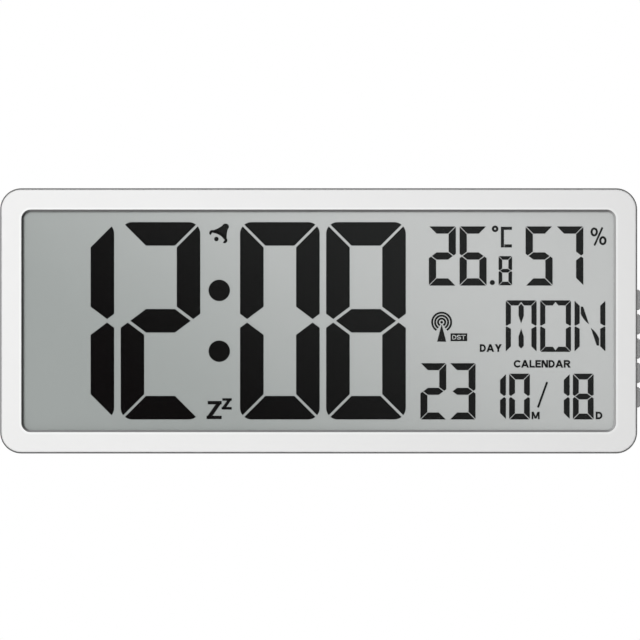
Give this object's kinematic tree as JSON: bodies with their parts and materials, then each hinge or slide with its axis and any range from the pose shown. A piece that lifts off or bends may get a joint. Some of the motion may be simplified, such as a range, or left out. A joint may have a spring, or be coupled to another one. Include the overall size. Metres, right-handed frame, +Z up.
{
  "type": "digital wall clock",
  "caption": "Wide wall clock with a large reflective figure display in a rounded silver frame, push-buttons on one side, rear battery door, keyholes and fold-out feet.",
  "frame": {"origin": "middle of the case on the rear face that lies against the wall", "axes": "+X to the right as the front is seen, +Y out of the back towards the wall, +Z up"},
  "size_m": [0.3682, 0.03, 0.1524],
  "materials": {
    "frame_plastic": "satin, light silver",
    "cover_plastic": "fine texture, mid grey",
    "button_plastic": "satin, mid grey",
    "polarizer_film": "smooth film",
    "lcd_glass": "clear",
    "lcd_marks": "near black, flat",
    "lcd_reflector": "frosted, pale grey",
    "gasket_rubber": "foam, black",
    "seal_resin": "cured resin",
    "retainer_plastic": "plain moulded",
    "screw_steel": "zinc plated",
    "zebra_rubber": "soft, layered",
    "circuit_board": "green solder mask",
    "potting_resin": "glossy black drop",
    "crystal_can": "drawn can",
    "capacitor_sleeve": "shrunk sleeve",
    "header_plastic": "natural nylon",
    "switch_plastic": "moulded, black",
    "plunger_plastic": "moulded, black",
    "contact_metal": "nickel plated",
    "battery_jacket": "printed jacket",
    "pad_rubber": "soft, black",
    "ferrite": "sintered, dark grey",
    "copper_winding": "lacquered copper wire",
    "buzzer_brass": "rolled sheet",
    "buzzer_ceramic": "silvered",
    "sensor_package": "moulded package",
    "lead_red": "insulated wire",
    "lead_black": "insulated wire",
    "lead_grey": "insulated wire"
  },
  "bodies": {
    "clock": {"front_frame": "frame_plastic", "rear_cover": "cover_plastic", "lcd_front_polarizer": "polarizer_film", "lcd_front_glass": "lcd_glass", "lcd_rear_glass": "lcd_glass", "time_segments": "lcd_marks", "climate_segments": "lcd_marks", "calendar_segments": "lcd_marks", "lcd_reflector": "lcd_reflector", "lcd_gasket": "gasket_rubber", "lcd_seal": "seal_resin", "lcd_retainer": "retainer_plastic", "retainer_screws": "screw_steel", "board_screws": "screw_steel", "case_screws": "screw_steel", "foot_pins": "screw_steel", "zebra_strip": "zebra_rubber", "main_board": "circuit_board", "button_board": "circuit_board", "receiver_board": "circuit_board", "sensor_board": "circuit_board", "controller_blob": "potting_resin", "quartz_crystal": "crystal_can", "smoothing_capacitor": "capacitor_sleeve", "wire_headers": "header_plastic", "switch_bodies": "switch_plastic", "link_contact": "contact_metal", "positive_contact": "contact_metal", "negative_contact": "contact_metal", "contact_springs": "contact_metal", "battery_upper": "battery_jacket", "battery_lower": "battery_jacket", "ferrite_rod": "ferrite", "antenna_coil": "copper_winding", "buzzer_disc": "buzzer_brass", "buzzer_ceramic": "buzzer_ceramic", "humidity_sensor": "sensor_package", "battery_lead_red": "lead_red", "battery_lead_black": "lead_black", "button_lead": "lead_grey", "antenna_lead": "lead_grey", "buzzer_lead": "lead_grey", "sensor_lead": "lead_grey"},
    "button_1": {"side_button_1": "button_plastic", "switch_plunger_1": "plunger_plastic"},
    "button_2": {"side_button_2": "button_plastic", "switch_plunger_2": "plunger_plastic"},
    "button_3": {"side_button_3": "button_plastic", "switch_plunger_3": "plunger_plastic"},
    "button_4": {"side_button_4": "button_plastic", "switch_plunger_4": "plunger_plastic"},
    "button_5": {"side_button_5": "button_plastic", "switch_plunger_5": "plunger_plastic"},
    "door": {"battery_door": "cover_plastic"},
    "foot_left": {"left_foot": "cover_plastic", "left_foot_pad": "pad_rubber"},
    "foot_right": {"right_foot": "cover_plastic", "right_foot_pad": "pad_rubber"}
  },
  "joints": [
    {"name": "button_1_press", "type": "slide", "parent": "clock", "child": "button_1", "axis": [-1, 0, 0], "range_m": [0, 0.0005], "stiffness_N_per_m": 800},
    {"name": "button_2_press", "type": "slide", "parent": "clock", "child": "button_2", "axis": [-1, 0, 0], "range_m": [0, 0.0005], "stiffness_N_per_m": 800},
    {"name": "button_3_press", "type": "slide", "parent": "clock", "child": "button_3", "axis": [-1, 0, 0], "range_m": [0, 0.0005], "stiffness_N_per_m": 800},
    {"name": "button_4_press", "type": "slide", "parent": "clock", "child": "button_4", "axis": [-1, 0, 0], "range_m": [0, 0.0005], "stiffness_N_per_m": 800},
    {"name": "button_5_press", "type": "slide", "parent": "clock", "child": "button_5", "axis": [-1, 0, 0], "range_m": [0, 0.0005], "stiffness_N_per_m": 800},
    {"name": "door_swing", "type": "hinge", "parent": "clock", "child": "door", "pos_m": [0, 0, -0.0437], "axis": [-1, 0, 0], "range_deg": [0, 70]},
    {"name": "foot_left_fold", "type": "hinge", "parent": "clock", "child": "foot_left", "pos_m": [-0.12, -0.0032, -0.0662], "axis": [-1, 0, 0], "range_deg": [0, 90]},
    {"name": "foot_right_fold", "type": "hinge", "parent": "clock", "child": "foot_right", "pos_m": [0.12, -0.0032, -0.0662], "axis": [-1, 0, 0], "range_deg": [0, 90]}
  ]
}
